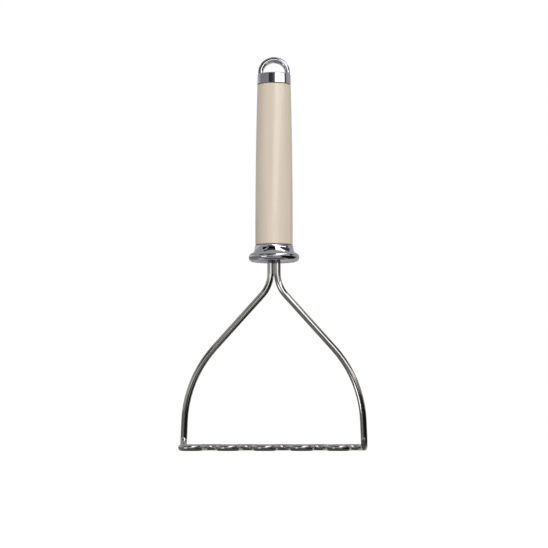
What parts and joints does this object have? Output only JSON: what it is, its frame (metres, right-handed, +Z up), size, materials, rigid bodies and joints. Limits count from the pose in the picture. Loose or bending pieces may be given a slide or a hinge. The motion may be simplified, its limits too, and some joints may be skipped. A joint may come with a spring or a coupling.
{
  "type": "wire potato masher",
  "caption": "Hand potato masher: a stainless wire bent into a flat mashing grid and a frame, held in a chromed ferrule, with a smooth round grip and a hanging loop.",
  "frame": {"origin": "middle of the mashing head, on the surface that it stands on", "axes": "+Z up from the head to the hanging loop, +X across the wide side of the head, +Y through its depth, away from the front"},
  "size_m": [0.1264, 0.076, 0.268],
  "materials": {
    "wire": "polished stainless steel wire",
    "chrome_trim": "bright chrome plate",
    "grip": "moulded ABS, cream, glossy",
    "core": "moulded nylon, natural",
    "hidden_steel": "zinc plated, dull",
    "insert": "turned",
    "seal": "matt, moulded"
  },
  "bodies": {
    "root": {"masher_wire": "wire", "ferrule": "chrome_trim", "tang_socket": "hidden_steel", "tang_pin": "hidden_steel", "ferrule_seal": "seal", "grip": "grip", "grip_core": "core", "tie_rod": "hidden_steel", "jam_nut": "hidden_steel", "spring_washer": "hidden_steel", "cap_insert": "insert", "cap_seal": "seal", "end_cap": "chrome_trim"}
  },
  "joints": []
}
